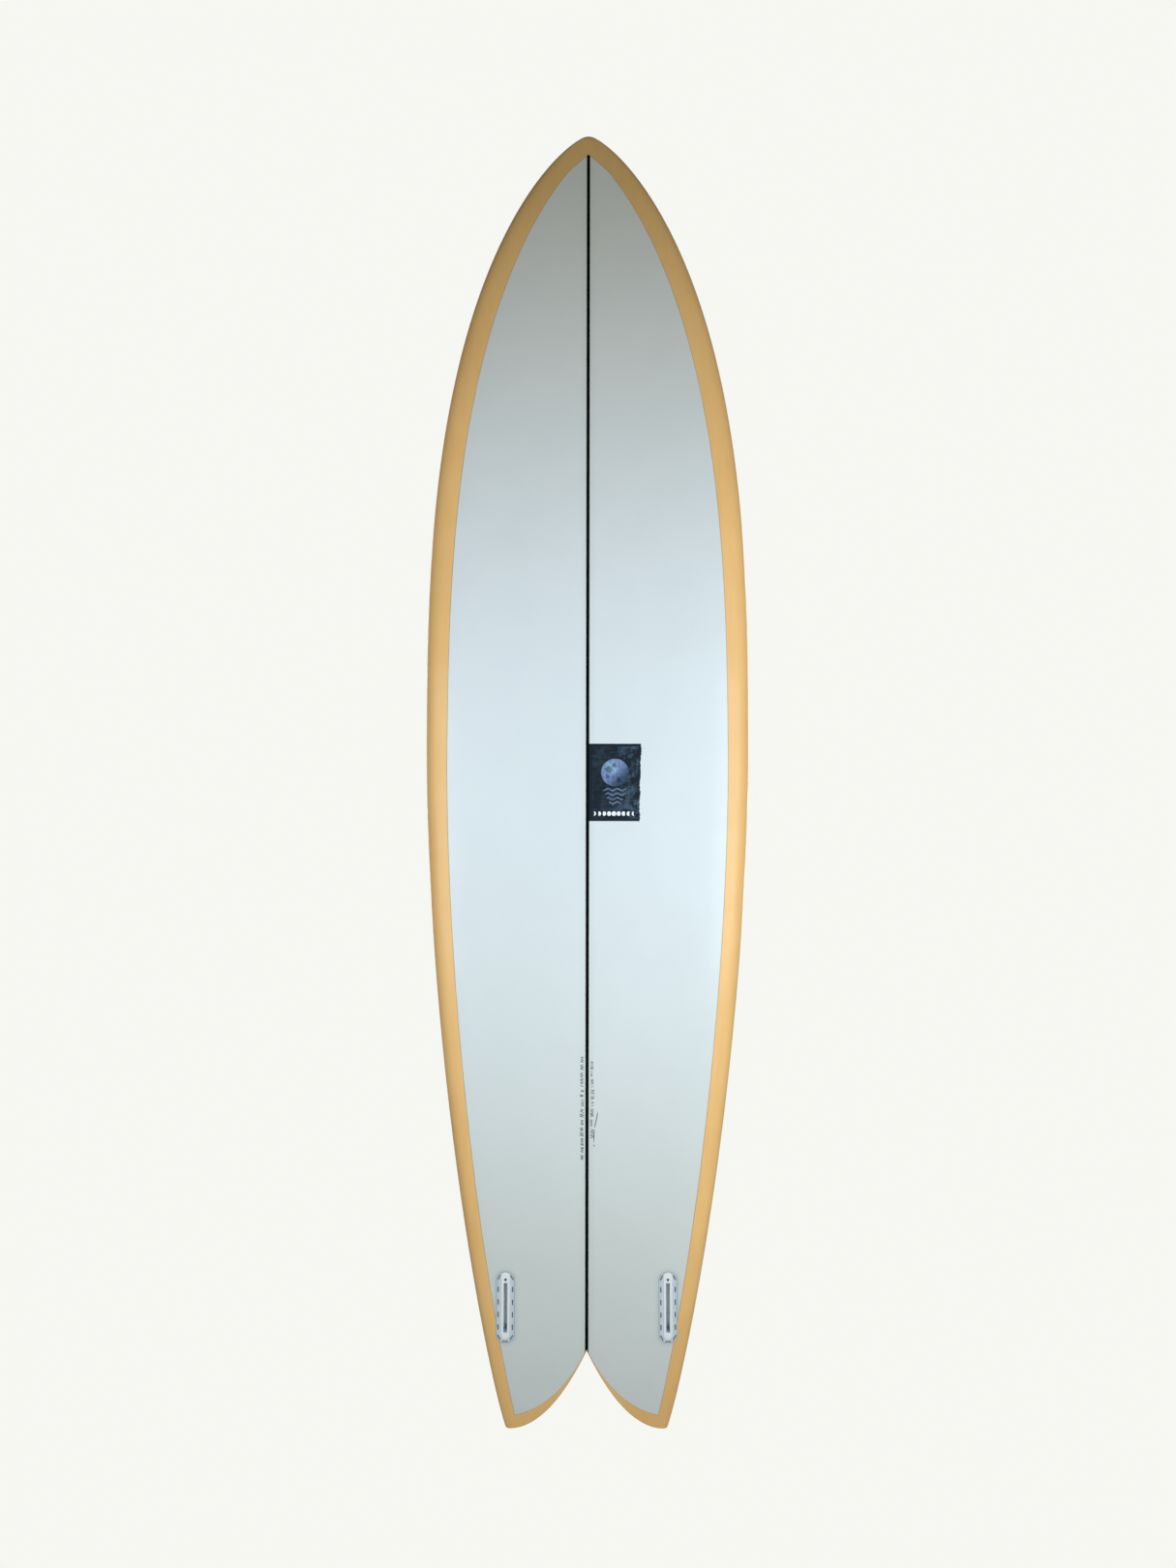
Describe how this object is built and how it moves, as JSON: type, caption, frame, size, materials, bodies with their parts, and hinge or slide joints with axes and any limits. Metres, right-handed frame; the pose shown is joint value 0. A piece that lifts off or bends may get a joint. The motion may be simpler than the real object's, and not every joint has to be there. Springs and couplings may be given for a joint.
{
  "type": "twin-fin fish surfboard",
  "caption": "Mid-length fish surfboard with a swallow tail, wooden stringer, tinted rails and deck, open fin boxes with set screws, and a leash plug.",
  "frame": {"origin": "on the centreline of the deck at mid-length, where a rack's arm or a strap holds the board", "axes": "+Z along the board to the nose, +Y out of the deck, +X towards a rider's left, which is the right of the bottom seen with the nose up"},
  "size_m": [0.5454, 0.1437, 2.2858],
  "materials": {
    "foam": "white closed-cell foam",
    "stringer": "black stained",
    "glue": "grey set glue",
    "clear_laminate": "clear glass cloth and resin over white foam, sanded gloss",
    "tinted_laminate": "tan resin tint, sanded gloss",
    "label": "dark printed rice paper under the glass",
    "box_plastic": "white moulded plastic",
    "resin": "clear set resin",
    "steel": "stainless"
  },
  "bodies": {
    "board": {"foam_blank_left": "foam", "foam_blank_right": "foam", "stringer": "stringer", "glue_line_left": "glue", "glue_line_right": "glue", "bottom_laminate": "clear_laminate", "deck_laminate": "tinted_laminate", "label": "label", "fin_box_left": "box_plastic", "fin_box_right": "box_plastic", "fin_box_resin_left": "resin", "fin_box_resin_right": "resin", "leash_plug": "box_plastic", "leash_plug_bar": "steel", "leash_plug_resin": "resin"},
    "screw_left": {"fin_screw_left": "steel"},
    "screw_right": {"fin_screw_right": "steel"}
  },
  "joints": [
    {"name": "screw_left_travel", "type": "slide", "parent": "board", "child": "screw_left", "axis": [-0.0137, 0.9151, -0.403], "range_m": [0, 0.0045]},
    {"name": "screw_right_travel", "type": "slide", "parent": "board", "child": "screw_right", "axis": [0.0137, 0.9151, -0.403], "range_m": [0, 0.0045]}
  ]
}
